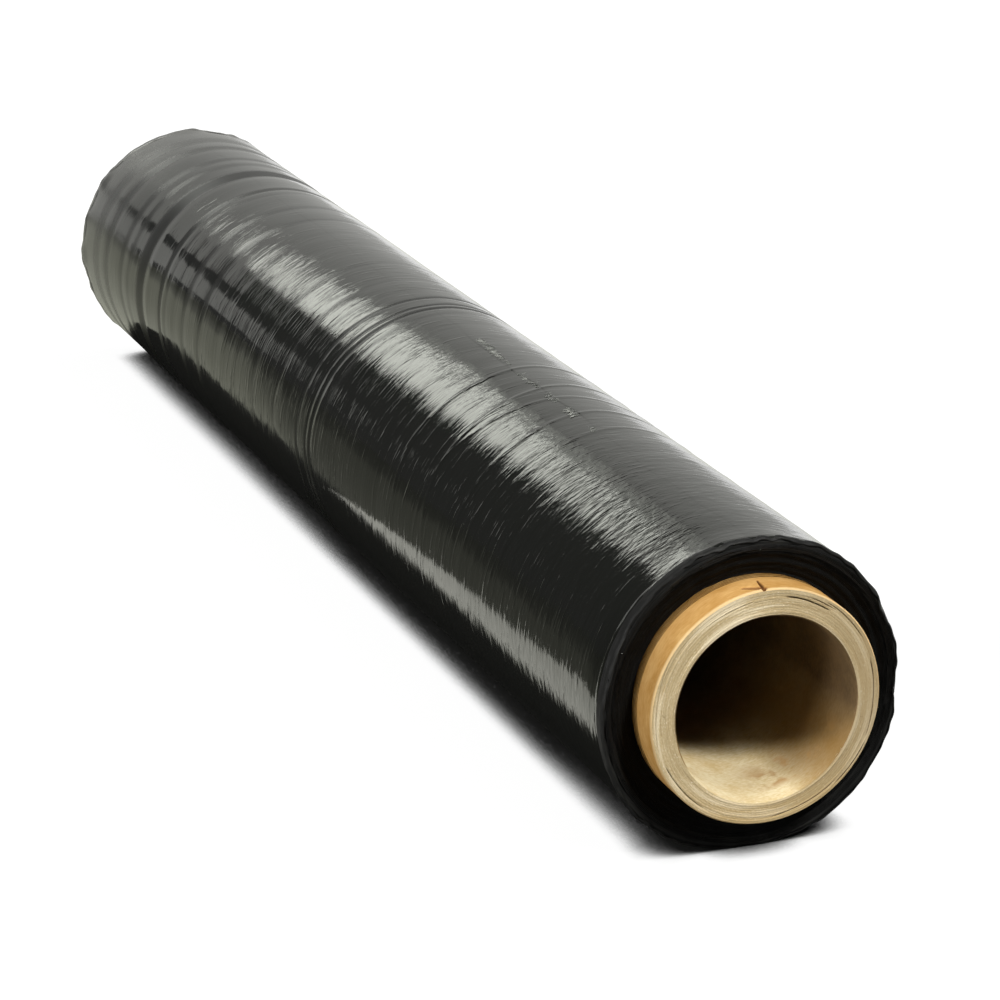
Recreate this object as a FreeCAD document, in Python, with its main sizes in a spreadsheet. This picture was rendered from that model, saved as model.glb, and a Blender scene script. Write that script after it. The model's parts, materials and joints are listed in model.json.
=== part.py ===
"""Roll of black stretch wrap on its cardboard core, lying on its side.

The roll's axis runs along X, with the end that faces the viewer towards +X.
The origin is on the floor below the middle of the roll, +Z is up, and all sizes are in millimetres.
"""
import FreeCAD
import Part
import math
import os

import Sketcher

# The driving dimensions, with what each one measures on the roll.
SIZES = (
    ("core_bore", 50, "inside width of the cardboard tube"),
    ("core_wall", 6.4, "wall of the tube"),
    ("core_overhang", 8.7, "length of tube that stands out of the film at each end"),
    ("ply_count", 6, "layers of board that show in the wall"),
    ("ply_gap", 0.2, "width of the seam that shows between two layers at the cut ends"),
    ("ply_gap_depth", 0.35, "depth of that seam, which is a V"),
    ("end_bevel", 0.4, "bevel that the saw leaves on the edges of the tube"),
    ("tear_length", 7.4, "length of the torn slit in the tube's skin"),
    ("tear_width", 1.1, "width of the slit at the tube's end"),
    ("tear_depth", 0.8, "depth of the slit"),
    ("film_width", 500, "width of the film, which is the length of the wound part"),
    ("film_depth", 10.1, "depth of film wound on the tube"),
    ("end_dish", 3.5, "how far the innermost turns lie behind the rim"),
    ("turn_groups", 5, "groups of turns that show as ledges on each end"),
    ("rim_round", 1.2, "rounding of the rim, where the outer turns sag over the edge"),
    ("flat_width", 13, "width of the flat that the film's own weight presses on the floor"),
    ("band_depth", 0.35, "depth of the bands where the film is thinner"),
    ("band_side", 1.2, "width of the slope on each side of a band"),
    ("tail_step", 0.25, "ledge at the free edge of the last turns"),
    ("tail_angle", 88.5, "where the free edge lies, in degrees up from the viewer's side"),
)

# Each band of thinner film, with its distance from the far rim and the width of its bottom.
BANDS = (
    ("wide_band", 75, 9),
    ("narrow_band", 101, 2.4),
    ("middle_band", 264.5, 3),
)

BORE_RADIUS = "(dims.core_bore / 2)"
CORE_RADIUS = "(dims.core_bore / 2 + dims.core_wall)"
FILM_RADIUS = "(dims.core_bore / 2 + dims.core_wall + dims.film_depth)"
FILM_HALF = "(dims.film_width / 2)"
CORE_HALF = "(dims.film_width / 2 + dims.core_overhang)"
GROUP_DEPTH = "(dims.film_depth / dims.turn_groups)"
AXIS_HEIGHT = f"sqrt({FILM_RADIUS} * {FILM_RADIUS} - dims.flat_width * dims.flat_width / 4)"

# How far a cutting outline runs out past the surface that it cuts.
PAST = "2"

doc = FreeCAD.newDocument("stretch_wrap_roll")


def make_sheet():
    """Writes the driving dimensions as cells with names."""
    sheet = doc.addObject("Spreadsheet::Sheet", "dims")
    rows = list(SIZES)
    for name, place, width in BANDS:
        rows.append((f"{name}_place", place, f"distance of the {name} from the far rim"))
        rows.append((f"{name}_width", width, f"width of the bottom of the {name}"))
    for row, (name, size, note) in enumerate(rows, start=1):
        sheet.set(f"A{row}", name)
        sheet.set(f"B{row}", str(size))
        sheet.set(f"C{row}", note)
        sheet.setAlias(f"B{row}", name)
    doc.recompute()
    return sheet


sheet = make_sheet()


def value_of(expression):
    """The number that an expression over the sheet gives."""
    return float(sheet.evalExpression(expression.replace("dims.", "")))


def new_body(name):
    """A body round the X axis, lifted so that the roll's flat spot lies on the floor."""
    body = doc.addObject("PartDesign::Body", name)
    body.Label = name
    body.setExpression("Placement.Base.z", AXIS_HEIGHT)
    return body


def new_sketch(body, name, plane):
    """A sketch on one of the body's own origin planes."""
    sketch = body.newObject("Sketcher::SketchObject", name)
    support = [part for part in body.Origin.OriginFeatures if part.Role == plane][0]
    sketch.AttachmentSupport = [(support, "")]
    sketch.MapMode = "FlatFace"
    return sketch


def close_outline(sketch, corners):
    """Joins corners with straight edges and ties each corner to the sheet.

    A corner is a pair of expressions. Two corners in a row that share one of them lie on one
    horizontal or vertical edge, so only the other one needs a dimension.
    """
    first = sketch.GeometryCount
    points = [FreeCAD.Vector(value_of(across), value_of(up), 0) for across, up in corners]
    for i in range(len(corners)):
        sketch.addGeometry(Part.LineSegment(points[i - 1], points[i]))
    for i, (across, up) in enumerate(corners):
        edge = first + i
        following = first + (i + 1) % len(corners)
        sketch.addConstraint(Sketcher.Constraint("Coincident", edge, 2, following, 1))
        across_before, up_before = corners[i - 1]
        if across == across_before:
            sketch.addConstraint(Sketcher.Constraint("Vertical", edge))
        else:
            tie(sketch, "DistanceX", edge, points[i].x, across)
        if up == up_before:
            sketch.addConstraint(Sketcher.Constraint("Horizontal", edge))
        else:
            tie(sketch, "DistanceY", edge, points[i].y, up)


def tie(sketch, kind, edge, size, expression):
    """Holds the end of an edge at a distance from the sketch's origin, given by the sheet."""
    number = sketch.addConstraint(Sketcher.Constraint(kind, -1, 1, edge, 2, size))
    sketch.setExpression(f"Constraints[{number}]", expression)


def turn(body, sketch, kind, name):
    """Turns a sketch once round the X axis, as a solid or as a cut."""
    feature = body.newObject(kind, name)
    feature.Profile = sketch
    feature.ReferenceAxis = (sketch, ["H_Axis"])
    feature.Angle = 360
    sketch.Visibility = False
    doc.recompute()
    return feature


def pocket(body, sketch, name, both_ways):
    """Cuts a sketch through the whole body, or to one side of its plane only."""
    feature = body.newObject("PartDesign::Pocket", name)
    feature.Profile = sketch
    feature.Type = "ThroughAll"
    feature.Midplane = both_ways
    sketch.Visibility = False
    return feature


def rims(shape, places):
    """The names of the full circles of a shape that have these radii and places along the axis."""
    names = []
    for number, edge in enumerate(shape.Edges, start=1):
        curve = edge.Curve
        if not isinstance(curve, Part.Circle):
            continue
        for radius, along in places:
            if abs(curve.Radius - radius) < 1e-4 and abs(curve.Center.x - along) < 1e-4:
                names.append(f"Edge{number}")
    return names


def ply_radius(gap):
    """The radius of the seam between two layers of the tube, counted from the bore."""
    return f"({BORE_RADIUS} + dims.core_wall * {gap} / dims.ply_count)"


def make_core():
    """The spiral-wound tube: a thick wall of glued board, sawn off square."""
    body = new_body("cardboard_core")
    wall = new_sketch(body, "core_section", "XZ_Plane")
    close_outline(wall, (
        (f"-{CORE_HALF}", BORE_RADIUS),
        (CORE_HALF, BORE_RADIUS),
        (CORE_HALF, CORE_RADIUS),
        (f"-{CORE_HALF}", CORE_RADIUS),
    ))
    tube = turn(body, wall, "PartDesign::Revolution", "core_tube")

    bevel = body.newObject("PartDesign::Chamfer", "core_bevel")
    half = value_of(CORE_HALF)
    ends = [(value_of(radius), side * half) for radius in (BORE_RADIUS, CORE_RADIUS) for side in (-1, 1)]
    bevel.Base = (tube, rims(tube.Shape, ends))
    bevel.setExpression("Size", "dims.end_bevel")
    doc.recompute()

    seams = new_sketch(body, "ply_seams", "XZ_Plane")
    for gap in range(1, int(sheet.ply_count)):
        seam = ply_radius(gap)
        for side in ("-", ""):
            bottom = f"{side}({CORE_HALF} - dims.ply_gap_depth)"
            past = f"{side}({CORE_HALF} + dims.ply_gap_depth)"
            close_outline(seams, (
                (bottom, seam),
                (past, f"{seam} - dims.ply_gap"),
                (past, f"{seam} + dims.ply_gap"),
            ))
    turn(body, seams, "PartDesign::Groove", "core_ply_seams")

    slit = new_sketch(body, "tear_outline", "XY_Plane")
    close_outline(slit, (
        (f"{CORE_HALF} - dims.tear_length", "0"),
        (f"{CORE_HALF} + {PAST}", "-dims.tear_width"),
        (f"{CORE_HALF} + {PAST}", "0"),
    ))
    slit.setExpression("AttachmentOffset.Base.z", f"{CORE_RADIUS} - dims.tear_depth")
    tear = pocket(body, slit, "core_tear", both_ways=False)
    tear.Reversed = True
    body.Tip = tear
    return body


def ledge_place(group):
    """How far the end of one group of turns is from the middle, dished in towards the tube."""
    behind = f"(dims.turn_groups - 1 - {group}) / (dims.turn_groups - 1)"
    return f"({FILM_HALF} - dims.end_dish * {behind})"


def film_corners():
    """The outline of the wound film above the axis, with a ledge for each group of turns."""
    near_end = []
    for group in range(int(sheet.turn_groups)):
        along = ledge_place(group)
        near_end.append((along, f"({CORE_RADIUS} + {GROUP_DEPTH} * {group})"))
        near_end.append((along, f"({CORE_RADIUS} + {GROUP_DEPTH} * {group + 1})"))
    far_end = [(f"-{along}", out) for along, out in reversed(near_end)]
    return near_end + far_end


def make_film():
    """The wound film: ledges of turns at the ends, bands round it, a free edge and a flat spot."""
    body = new_body("stretch_film")
    section = new_sketch(body, "film_section", "XZ_Plane")
    close_outline(section, film_corners())
    roll = turn(body, section, "PartDesign::Revolution", "film_roll")

    rounding = body.newObject("PartDesign::Fillet", "film_rims")
    half = value_of(FILM_HALF)
    rounding.Base = (roll, rims(roll.Shape, [(value_of(FILM_RADIUS), side * half) for side in (-1, 1)]))
    rounding.setExpression("Radius", f"min(dims.rim_round; 0.85 * {GROUP_DEPTH})")
    doc.recompute()

    bands = new_sketch(body, "band_section", "XZ_Plane")
    for name, _, _ in BANDS:
        middle = f"dims.{name}_place - {FILM_HALF}"
        bottom = f"({FILM_RADIUS} - dims.band_depth)"
        past = f"({FILM_RADIUS} + dims.band_depth)"
        foot = f"dims.{name}_width / 2"
        lip = f"({foot} + 2 * dims.band_side)"
        close_outline(bands, (
            (f"{middle} - {foot}", bottom),
            (f"{middle} + {foot}", bottom),
            (f"{middle} + {lip}", past),
            (f"{middle} - {lip}", past),
        ))
    turn(body, bands, "PartDesign::Groove", "film_bands")

    ledge = new_sketch(body, "tail_outline", "YZ_Plane")
    close_outline(ledge, (
        ("0", f"({FILM_RADIUS} - dims.tail_step)"),
        ("0", f"({FILM_RADIUS} + {PAST})"),
        (f"-{FILM_RADIUS} / 2", f"({FILM_RADIUS} + {PAST})"),
        (f"-{FILM_RADIUS} / 2", f"({FILM_RADIUS} - dims.tail_step)"),
    ))
    ledge.setExpression("AttachmentOffset.Rotation.Angle", "90 - dims.tail_angle")
    pocket(body, ledge, "film_tail_edge", both_ways=True)

    flat = new_sketch(body, "flat_outline", "YZ_Plane")
    close_outline(flat, (
        (f"-{FILM_RADIUS}", f"-{AXIS_HEIGHT}"),
        (f"-{FILM_RADIUS}", f"-({FILM_RADIUS} + {PAST})"),
        (FILM_RADIUS, f"-({FILM_RADIUS} + {PAST})"),
        (FILM_RADIUS, f"-{AXIS_HEIGHT}"),
    ))
    body.Tip = pocket(body, flat, "film_flat_spot", both_ways=True)
    return body


def check_cuts(body):
    """Each cut must take material away, or it points away from the solid."""
    volume = math.inf
    for feature in body.Group:
        if not feature.isDerivedFrom("PartDesign::Feature"):
            continue
        if feature.Shape.Volume >= volume:
            raise RuntimeError(f"{feature.Name} cuts nothing")
        volume = feature.Shape.Volume
        print(f"{feature.Name}: {volume / 1000:.2f} cm3")


bodies = (make_core(), make_film())
doc.recompute()

for item in doc.Objects:
    if {"Invalid", "Error"} & set(item.State):
        raise RuntimeError(f"{item.Name} did not compute: {item.State}")
for body in bodies:
    if body.Shape.isNull() or not body.Shape.isValid():
        raise RuntimeError(f"{body.Label} has no valid shape")
    check_cuts(body)

os.makedirs("parts", exist_ok=True)
for body in bodies:
    body.Shape.exportStep(f"parts/{body.Label}.step")
    box = body.Shape.BoundBox
    print(f"{body.Label}: {box.XLength:.2f} x {box.YLength:.2f} x {box.ZLength:.2f} mm, low {box.ZMin:.3f}")
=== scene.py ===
# %% [markdown]
# # A roll of black stretch wrap, lying on its side
#
# The real object is over a hundred metres of thin black film, wound tight on a cardboard tube.
# A roll is a simple shape, so nearly all of its look comes from three things: the thin rings
# and streaks that winding leaves in the film, the mirror-like way they catch the lamps, and the
# contrast with the rough, sawn end of the cardboard.
#
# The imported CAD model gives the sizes. It is loaded first, as a frame that nothing here moves.


# %% Load the frame
import json
import math

import bpy
import numpy as np
from mathutils import Matrix, Vector


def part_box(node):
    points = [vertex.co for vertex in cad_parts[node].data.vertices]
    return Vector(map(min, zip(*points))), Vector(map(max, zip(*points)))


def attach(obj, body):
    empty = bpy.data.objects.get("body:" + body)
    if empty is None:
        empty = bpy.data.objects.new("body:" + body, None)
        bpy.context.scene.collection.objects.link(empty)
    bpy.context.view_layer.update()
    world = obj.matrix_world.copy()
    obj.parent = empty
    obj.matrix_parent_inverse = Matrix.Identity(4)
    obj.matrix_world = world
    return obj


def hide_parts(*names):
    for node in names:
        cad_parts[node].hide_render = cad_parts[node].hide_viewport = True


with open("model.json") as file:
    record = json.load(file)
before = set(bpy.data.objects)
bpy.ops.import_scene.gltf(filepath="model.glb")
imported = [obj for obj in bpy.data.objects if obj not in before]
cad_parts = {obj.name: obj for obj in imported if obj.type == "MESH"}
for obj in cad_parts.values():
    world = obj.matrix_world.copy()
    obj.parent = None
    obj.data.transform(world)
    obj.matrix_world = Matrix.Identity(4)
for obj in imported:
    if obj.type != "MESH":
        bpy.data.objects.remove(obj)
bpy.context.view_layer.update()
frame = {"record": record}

# %% [markdown]
# ## Sizes
#
# Everything that the frame can tell is read from it: the radii, the widths and the height of the
# roll's axis over the floor. Small features of the surface are easier to think of in millimetres,
# so this script works in millimetres and turns them to metres when a mesh is written.
#
# Angles round the roll are in degrees: 0 faces the viewer's left (-Y), 90 is the top. The free
# edge of the last turn runs along the roll close to the top, and the ends of the film are a
# little hollow, which no box can tell. Those two are given.


# %% Sizes from the frame
MM = 0.001
film_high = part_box("stretch_film")[1]
core_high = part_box("cardboard_core")[1]
bore = next(mount for mount in frame["record"]["mounts"] if mount["name"] == "core_bore")

AXIS_HEIGHT = bore["pos_m"][2] / MM
BORE_RADIUS = bore["dims"]["r_mm"]
CORE_RADIUS = core_high.y / MM
FILM_RADIUS = film_high.y / MM
CORE_HALF = core_high.x / MM
FILM_HALF = film_high.x / MM
TAIL_ANGLE = 88.5
END_DISH = 3.5
print("radii", BORE_RADIUS, round(CORE_RADIUS, 2), round(FILM_RADIUS, 2))
print("axis", round(AXIS_HEIGHT, 2))

# %% [markdown]
# ## Small helpers
#
# `ease` is the usual soft step between two values. `stations` spreads sample places along a
# line and packs them closer where a feature needs it. `ripples` is smooth noise that closes on
# itself round the roll, because it is a sum of waves with whole numbers of turns.


# %% Helpers for shapes
def ease(value, start, end):
    """0 before start, 1 after end, and a soft S between them."""
    share = np.clip((value - start) / (end - start), 0, 1)
    return share * share * (3 - 2 * share)


def stations(low, high, step, dense=()):
    """Places from low to high a step apart, and closer in each (middle, reach, step) stretch."""
    places = list(np.linspace(low, high, round((high - low) / step) + 1))
    for middle, reach, fine in dense:
        places = [place for place in places if abs(place - middle) > reach]
        places += list(np.linspace(middle - reach, middle + reach, round(2 * reach / fine) + 1))
    return np.array(sorted(places))


def ripples(along, angle, seed, waves, turns, lengths, height):
    """A smooth random relief in millimetres.

    It is a sum of waves that go a whole number of times round the roll, between the two given
    turns, and have a length along it between the two given lengths.
    """
    random = np.random.default_rng(seed)
    relief = 0
    for _ in range(waves):
        turn = random.integers(turns[0], turns[1] + 1)
        length = random.uniform(*lengths) * random.choice((-1, 1))
        phase = random.uniform(0, 2 * math.pi)
        relief = relief + np.cos(turn * np.radians(angle) + 2 * math.pi * along / length + phase)
    return relief * height / math.sqrt(waves)


# %% [markdown]
# ## From a section to a mesh
#
# The film and the core are both closed sections turned round one axis, with a relief laid over
# them. A grid does that: one direction runs round the section, the other round the roll. Both
# directions close, so the mesh has no seam, no pole and no open edge.


# %% Build a closed ring mesh
def new_object(name, data):
    """An object in the scene that holds a mesh, a light or a camera."""
    thing = bpy.data.objects.new(name, data)
    bpy.context.scene.collection.objects.link(thing)
    return thing


def ring_mesh(name, along, radius, angles, slots, materials):
    """A closed mesh from arrays of place along the axis and radius, both section by angle."""
    sections, turns = along.shape
    theta = np.radians(angles)
    across = -radius * np.cos(theta)
    up = np.maximum(radius * np.sin(theta) + AXIS_HEIGHT, 0)
    points = np.stack([along, across, up], axis=-1).reshape(-1, 3) * MM
    section, turn = np.meshgrid(np.arange(sections), np.arange(turns), indexing="ij")
    next_section, next_turn = (section + 1) % sections, (turn + 1) % turns
    quads = np.stack([
        section * turns + turn,
        next_section * turns + turn,
        next_section * turns + next_turn,
        section * turns + next_turn,
    ], axis=-1).reshape(-1, 4)
    mesh = bpy.data.meshes.new(name)
    mesh.from_pydata(points.tolist(), [], quads.tolist())
    for material in materials:
        mesh.materials.append(material)
    mesh.polygons.foreach_set("material_index", np.repeat(slots, turns).astype(np.int32))
    mesh.shade_smooth()
    mesh.update()
    print(name, len(quads) * 2, "triangles")
    return new_object(name, mesh)


def mark(piece, name, values):
    """Writes one value for each point of a piece, for its materials to read."""
    piece.data.attributes.new(name, "FLOAT", "POINT").data.foreach_set("value", values.ravel())


# %% [markdown]
# ## Writing materials
#
# Colours are written as the hex values that a picture editor shows. Blender's shaders want
# linear light, so one function turns one into the other. `add` adds a node, sets its properties
# and feeds its inputs, which keeps each material short enough to read.
#
# Every material here is built in the same order: some noise, a height and a base colour made
# from it, and `dress`, which gives the two to the shader. A height is in metres, like the mesh,
# so the bump node's distance is 1. A colour is a stack of tones, which `tones_over` lays one
# over the other like washes of paint.


# %% Helpers for materials
def colour(hex_value):
    """An sRGB hex value as linear red, green, blue and alpha."""
    parts = [int(hex_value[i:i + 2], 16) / 255 for i in (1, 3, 5)]
    return [c / 12.92 if c <= 0.04045 else ((c + 0.055) / 1.055) ** 2.4 for c in parts] + [1]


def add(tree, kind, inputs=None, **settings):
    """Adds a node with its settings, and feeds its inputs with numbers or with outputs."""
    node = tree.nodes.new(kind)
    for name, value in settings.items():
        setattr(node, name, value)
    for name, value in (inputs or {}).items():
        if isinstance(value, bpy.types.NodeSocket):
            tree.links.new(value, node.inputs[name])
        else:
            node.inputs[name].default_value = value
    return node


def new_material(name, **surface):
    """An empty material with a Principled shader, and that shader's plain inputs set."""
    material = bpy.data.materials.new(name)
    material.use_nodes = True
    tree = material.node_tree
    tree.nodes.clear()
    shader = add(tree, "ShaderNodeBsdfPrincipled", surface)
    add(tree, "ShaderNodeOutputMaterial", {"Surface": shader.outputs[0]})
    return material, tree, shader


def stretched_noise(tree, along_mm, round_mm, detail=2.0, lean=0.0):
    """Noise whose grains are along_mm long on the axis and round_mm long round the roll.

    Object coordinates are used, so the pattern is fixed to the roll. Grains that are long in both
    Y and Z lie round the roll wherever they are on it. The lean is in radians.
    """
    place = add(tree, "ShaderNodeTexCoord").outputs["Object"]
    grain = add(tree, "ShaderNodeMapping", {
        "Vector": place,
        "Rotation": (0, lean, 0),
        "Scale": (1 / (along_mm * MM), 1 / (round_mm * MM), 1 / (round_mm * MM)),
    })
    return add(tree, "ShaderNodeTexNoise", {
        "Vector": grain.outputs[0], "Scale": 1, "Detail": detail,
    }).outputs[0]


def sum_of(tree, *terms):
    """The sum of several (output, factor) pairs."""
    total = 0.0
    for output, factor in terms:
        node = add(tree, "ShaderNodeMath", {
            0: output, 1: factor, 2: total,
        }, operation="MULTIPLY_ADD")
        total = node.outputs[0]
    return total


def product_of(tree, product, *others):
    """The product of several outputs."""
    for other in others:
        node = add(tree, "ShaderNodeMath", {0: product, 1: other}, operation="MULTIPLY")
        product = node.outputs[0]
    return product


def tones_over(tree, base, layers):
    """Lays tones over a base colour.

    Each layer is (output, start, end, share at the start, share at the end, tone). The tone
    covers what is below it by a share that follows the output.
    """
    for output, start, end, at_start, at_end, tone in layers:
        share = add(tree, "ShaderNodeMapRange", {
            0: output, 1: start, 2: end, 3: at_start, 4: at_end,
        })
        mixed = add(tree, "ShaderNodeMix", {
            0: share.outputs[0], 6: base, 7: colour(tone),
        }, data_type="RGBA")
        base = mixed.outputs[2]
    return base


def place_outputs(tree):
    """Object coordinates in metres: the whole vector, and its parts along, across and up."""
    place = add(tree, "ShaderNodeTexCoord").outputs["Object"]
    return (place, *add(tree, "ShaderNodeSeparateXYZ", {0: place}).outputs)


def dress(tree, shader, base, height, strength=1.0):
    """Feeds a shader its colour, and its bump from a height in metres."""
    bump = add(tree, "ShaderNodeBump", {
        "Height": height,
        "Distance": 1.0,
        "Strength": strength,
    })
    tree.links.new(base, shader.inputs["Base Color"])
    tree.links.new(bump.outputs[0], shader.inputs["Normal"])


# %% [markdown]
# ## Film: linear low-density polyethylene, black masterbatch, cast and wound under tension
#
# Cast film is as smooth as glass, so each turn is a mirror with a sharp image. What breaks the
# image is the winding: hair-fine streaks that run a centimetre or two round the roll, and rings
# where the film is a few microns thinner. Polyethylene's refractive index is 1.5. Black pigment
# leaves almost no colour of its own, so nearly everything that shows is reflection.
#
# The streaks are 0.3 to 1.5 mm wide on the real roll and a few hundredths of a millimetre deep,
# too fine for the mesh, so they are bump. Noise grains of that size, stretched round the roll,
# draw them. The finest ones are drawn a little coarser than they are, so that they still show.
# Where the mesh says that a band is thin, the film is rougher, and its specular tint is painted
# darker there, a painted shade, so it mirrors less.


# %% Film material
def make_film_gloss():
    """Wound polyethylene film: a black mirror with streaks and rings."""
    material, tree, shader = new_material("black_polyethylene_film_wound", IOR=1.5)
    along = place_outputs(tree)[1]
    gauge = add(tree, "ShaderNodeAttribute", attribute_name="gauge").outputs["Fac"]
    crease = add(tree, "ShaderNodeAttribute", attribute_name="crease").outputs["Fac"]

    # How far into the near end, the near half, the far end and the calmer far half a place is.
    near_end = add(tree, "ShaderNodeMapRange", {0: along, 1: 95 * MM, 2: 190 * MM}).outputs[0]
    near_half = add(tree, "ShaderNodeMapRange", {0: along, 1: -40 * MM, 2: 60 * MM}).outputs[0]
    far_end = add(tree, "ShaderNodeMapRange", {0: along, 1: -175 * MM, 2: -225 * MM}).outputs[0]
    calm = add(tree, "ShaderNodeMapRange", {
        0: along, 1: -55 * MM, 2: -145 * MM, 3: 1.0, 4: 0.36,
    }).outputs[0]

    # Hairs come in patches, and a few of the streaks are sharp.
    patch = add(tree, "ShaderNodeMapRange", {
        0: stretched_noise(tree, 14, 18, detail=1), 1: 0.35, 2: 0.65, 3: 0.35, 4: 1.3,
    }).outputs[0]
    streak = stretched_noise(tree, 1.6, 11, lean=0.03)
    sharp = add(tree, "ShaderNodeMapRange", {0: streak, 1: 0.56, 2: 0.72}).outputs[0]
    hair = product_of(tree, stretched_noise(tree, 0.7, 5, lean=0.04), patch)
    grain = product_of(tree, stretched_noise(tree, 0.6, 1.1), near_half)
    ring = stretched_noise(tree, 3.4, 300, detail=3, lean=0.02)
    crinkle = product_of(tree, stretched_noise(tree, 2.2, 4.6, lean=0.35), near_end)
    mottle = product_of(tree, stretched_noise(tree, 1.5, 2.2, detail=3), crease)
    height = sum_of(
        tree,
        (hair, 0.026 * MM),
        (streak, 0.026 * MM),
        (sharp, 0.027 * MM),
        (grain, 0.012 * MM),
        (ring, 0.040 * MM),
        (crinkle, 0.12 * MM),
        (mottle, 0.07 * MM),
    )

    # The far end's base is painted lighter, a painted sheen, and the far end is rougher. The thin
    # bands are rougher, and their specular tint is painted darker, a painted shade.
    base = tones_over(tree, colour("#0d0e0b"), [(along, -205 * MM, -250 * MM, 0, 1, "#52524f")])
    mirror = tones_over(tree, colour("#fdfff2"), [(gauge, 0, 1, 0, 1, "#3c3c38")])
    roughness = sum_of(tree, (near_end, 0.03), (far_end, 0.10), (gauge, 0.30), (1.0, 0.07))
    tree.links.new(mirror, shader.inputs["Specular Tint"])
    tree.links.new(roughness, shader.inputs["Roughness"])
    dress(tree, shader, base, product_of(tree, height, calm))
    return material


film_gloss = make_film_gloss()
print("made", film_gloss.name)

# %% [markdown]
# ## Film ends: hundreds of slit edges
#
# At the ends one looks at the slit edges of every turn, stacked like the pages of a book. Light
# that falls between them doesn't come back, so the ends are the darkest part of the roll, and
# rough. Only single edges that stand proud catch a thin line of light. The rings of tone are
# drawn 0.35 mm wide, over a dozen turns of film, because a single turn is too thin to show.


# %% Film end material
def radius_output(tree):
    """The distance from the roll's axis, in metres."""
    centred = add(tree, "ShaderNodeVectorMath", {
        0: place_outputs(tree)[0],
        1: (0, 0, AXIS_HEIGHT * MM),
    }, operation="SUBTRACT").outputs[0]
    flat = add(tree, "ShaderNodeVectorMath", {0: centred, 1: (0, 1, 1)}, operation="MULTIPLY")
    return add(tree, "ShaderNodeVectorMath", {0: flat.outputs[0]}, operation="LENGTH").outputs[1]


def ring_noise(tree, width_mm, round_mm):
    """Noise in rings round the axis, width_mm wide, that changes every round_mm or so."""
    grain = 1 / (round_mm * MM)
    coarse = add(tree, "ShaderNodeVectorMath", {
        0: place_outputs(tree)[0],
        1: (0, grain, grain),
    }, operation="MULTIPLY").outputs[0]
    across = product_of(tree, radius_output(tree), 1 / (width_mm * MM))
    lifted = add(tree, "ShaderNodeCombineXYZ", {0: across}).outputs[0]
    where = add(tree, "ShaderNodeVectorMath", {0: coarse, 1: lifted}, operation="ADD").outputs[0]
    return add(tree, "ShaderNodeTexNoise", {"Vector": where, "Scale": 1, "Detail": 2}).outputs[0]


def make_film_ends():
    """Slit edges of wound film: a matt light trap with faint rings."""
    material, tree, shader = new_material("black_polyethylene_film_slit_edges", **{
        "IOR": 1.5,
        "Specular IOR Level": 0.10,
        "Roughness": 0.5,
    })
    rings = ring_noise(tree, 0.35, 14)
    base = tones_over(tree, colour("#1d1d1c"), [(rings, 0.5, 0.75, 0, 1, "#292926")])
    dress(tree, shader, base, product_of(tree, rings, 0.25 * MM), strength=0.8)
    return material


film_ends = make_film_ends()
print("made", film_ends.name)

# %% [markdown]
# ## Core: kraft paper skin, grey board and liner
#
# The tube is wound from strips of recycled board and wrapped in one strip of kraft paper, and
# then sawn to length. Three finishes show: the smooth kraft skin outside, warm brown with a
# fine cloud of fibres; the sawn end, paler, with the layers as thin rings; and the liner in the
# bore, which is the same board seen flat. Paper has next to no gloss, so all three are rough and
# have a weak specular level. Each is a stack of tones, from the plain board to its marks.


# %% Kraft skin
CORE_IOR = 1.45


def make_kraft_skin():
    """The kraft paper skin: warm brown, with clouds of tone and short fibres."""
    material, tree, shader = new_material("kraft_paper_skin", **{
        "Roughness": 0.8,
        "IOR": CORE_IOR,
        "Specular IOR Level": 0.3,
    })
    cloud = stretched_noise(tree, 5, 8, detail=4, lean=0.6)
    fibre = stretched_noise(tree, 0.4, 1.6, detail=3, lean=0.6)
    signed = place_outputs(tree)[1]
    along = add(tree, "ShaderNodeMath", {0: signed}, operation="ABSOLUTE").outputs[0]
    opened = add(tree, "ShaderNodeAttribute", attribute_name="opened").outputs["Fac"]
    tone = sum_of(tree, (cloud, 0.6), (fibre, 0.4))
    base = tones_over(tree, colour("#aa7c3b"), [
        (tone, 0.36, 0.64, 0, 1, "#c69d60"),
        # painted shade, browner by the film
        (along, (CORE_HALF - 1) * MM, (CORE_HALF - 12) * MM, 0, 0.2, "#98692f"),
        # worn pale on the last millimetre
        (along, (CORE_HALF - 1.1) * MM, (CORE_HALF - 0.2) * MM, 0, 0.6, "#dcc495"),
        # dark in the slit
        (opened, 0.05, 0.5, 0, 0.92, "#6e451f"),
    ])
    dress(tree, shader, base, sum_of(tree, (fibre, 0.03 * MM), (cloud, 0.05 * MM)))
    return material


kraft_skin = make_kraft_skin()
print("made", kraft_skin.name)
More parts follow.
